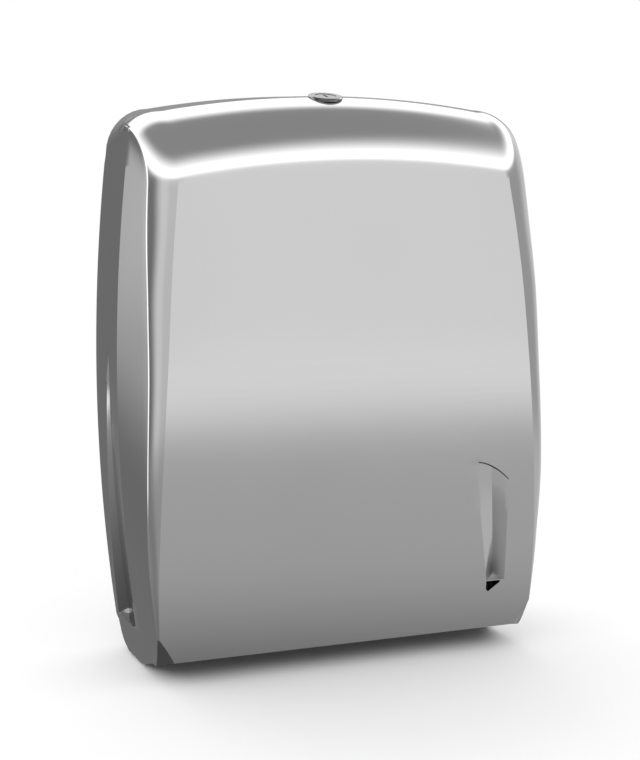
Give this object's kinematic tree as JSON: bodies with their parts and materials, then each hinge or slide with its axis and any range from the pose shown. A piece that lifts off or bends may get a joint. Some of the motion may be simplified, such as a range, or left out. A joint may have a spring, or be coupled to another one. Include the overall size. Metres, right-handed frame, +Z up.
{
  "type": "folded paper towel dispenser",
  "caption": "Wall-mounted folded paper towel dispenser with a bottom-hinged satin metal cover, a cam lock, a sight groove and a towel magazine with a dispensing slot",
  "frame": {"origin": "on the wall face, on the centre line, at the height of the lower edge of the sides", "axes": "+X to the right seen from the room, -Y out of the wall towards the room, +Z up"},
  "size_m": [0.3, 0.117, 0.3945],
  "materials": {
    "satin_steel": "satin, fine vertical grain",
    "clear_window": "clear moulded pane",
    "dark_plastic": "fine matte moulding grain",
    "bush_plastic": "natural moulded bearing plastic",
    "lock_chrome": "polished",
    "screw_steel": "bright zinc",
    "sheet_steel": "bent zinc-coated sheet"
  },
  "bodies": {
    "back": {"back_plate": "dark_plastic", "towel_tray": "dark_plastic", "left_guide": "sheet_steel", "right_guide": "sheet_steel", "left_hinge_bracket": "sheet_steel", "right_hinge_bracket": "sheet_steel", "left_hinge_pin": "screw_steel", "right_hinge_pin": "screw_steel", "catch_plate": "sheet_steel", "tray_screws": "screw_steel", "guide_screws": "screw_steel", "bracket_screws": "screw_steel", "catch_screws": "screw_steel"},
    "cover": {"front_cover": "satin_steel", "level_window": "clear_window", "window_retainer": "dark_plastic", "retainer_screws": "screw_steel", "lock_body": "lock_chrome", "lock_washer": "screw_steel", "lock_nut": "screw_steel", "left_hinge_bush": "bush_plastic", "right_hinge_bush": "bush_plastic"},
    "lock": {"lock_plug": "lock_chrome", "lock_cam": "screw_steel", "cam_screw": "screw_steel"}
  },
  "joints": [
    {"name": "cover_hinge", "type": "hinge", "parent": "back", "child": "cover", "pos_m": [0, -0.026, -0.002], "axis": [1, 0, 0], "range_deg": [0, 75]},
    {"name": "lock_turn", "type": "hinge", "parent": "cover", "child": "lock", "pos_m": [0, -0.061, 0.36896], "axis": [0, 0.1938, -0.981], "range_deg": [0, 90]}
  ]
}
